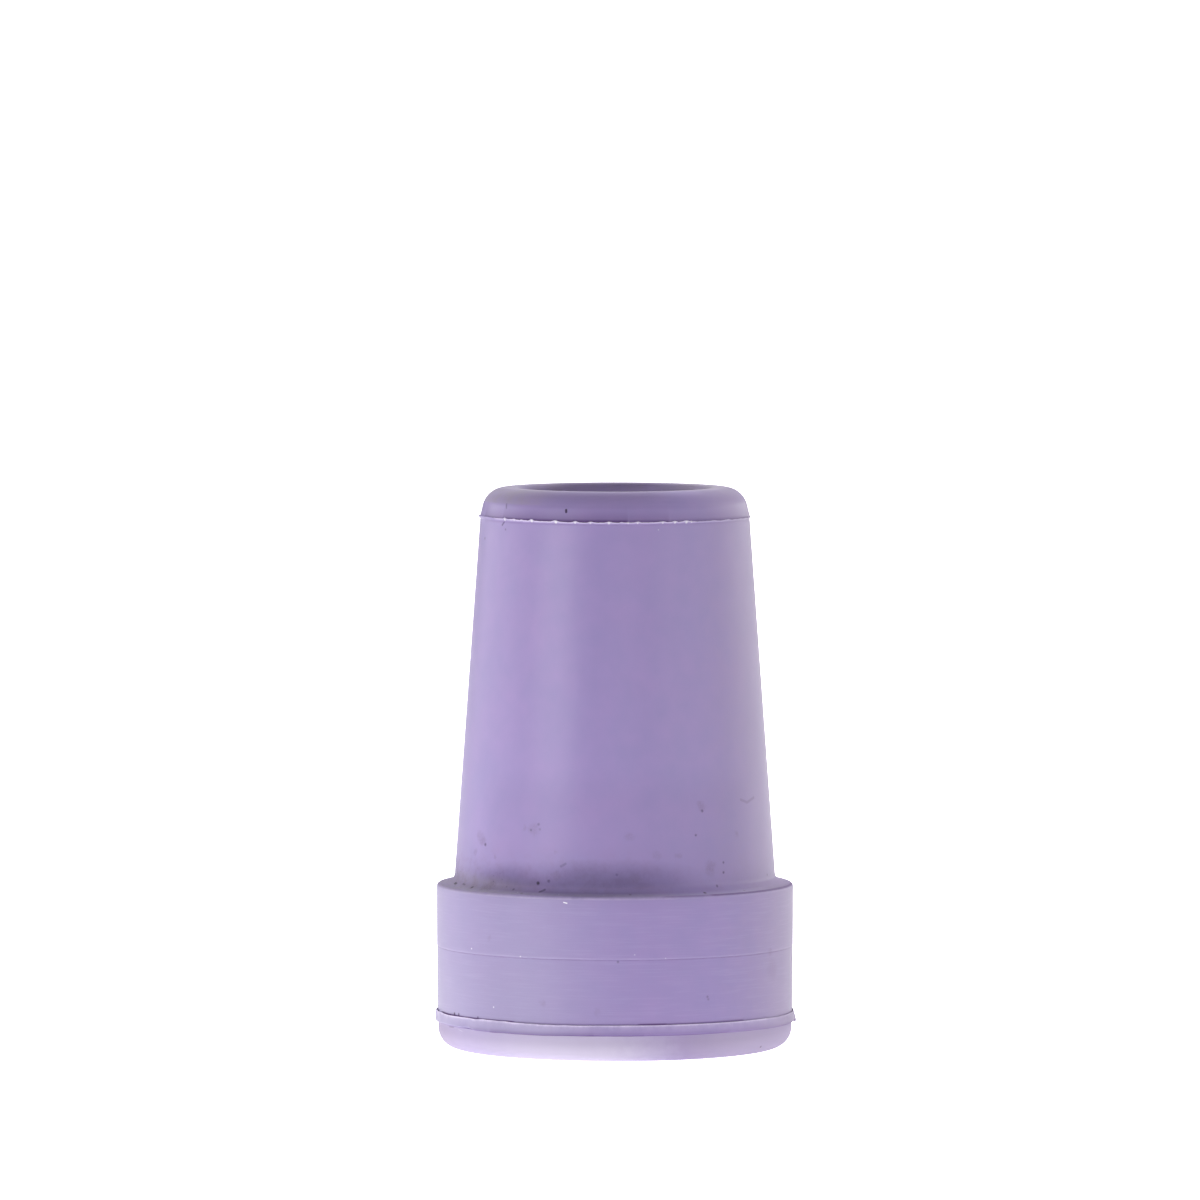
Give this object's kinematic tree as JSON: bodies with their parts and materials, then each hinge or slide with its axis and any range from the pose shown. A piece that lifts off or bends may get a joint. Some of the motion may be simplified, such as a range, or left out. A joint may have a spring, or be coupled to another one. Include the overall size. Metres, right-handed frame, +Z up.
{
  "type": "rubber cane tip",
  "caption": "Moulded rubber tip that pushes onto the end of a round cane or crutch shaft: tapered sleeve with a blind bore, wider base ring and a grooved non-slip sole.",
  "frame": {"origin": "centre of the sole, on the plane that the tip stands on", "axes": "+Z up along the shaft's axis, out of the bore's mouth; +X and +Y are any two level directions, because the section is turned about +Z"},
  "size_m": [0.0366, 0.0366, 0.057],
  "materials": {
    "lilac_rubber": "satin, lightly soiled, with a bloom of fine dust"
  },
  "bodies": {
    "root": {"cane_tip": "lilac_rubber"}
  },
  "joints": []
}
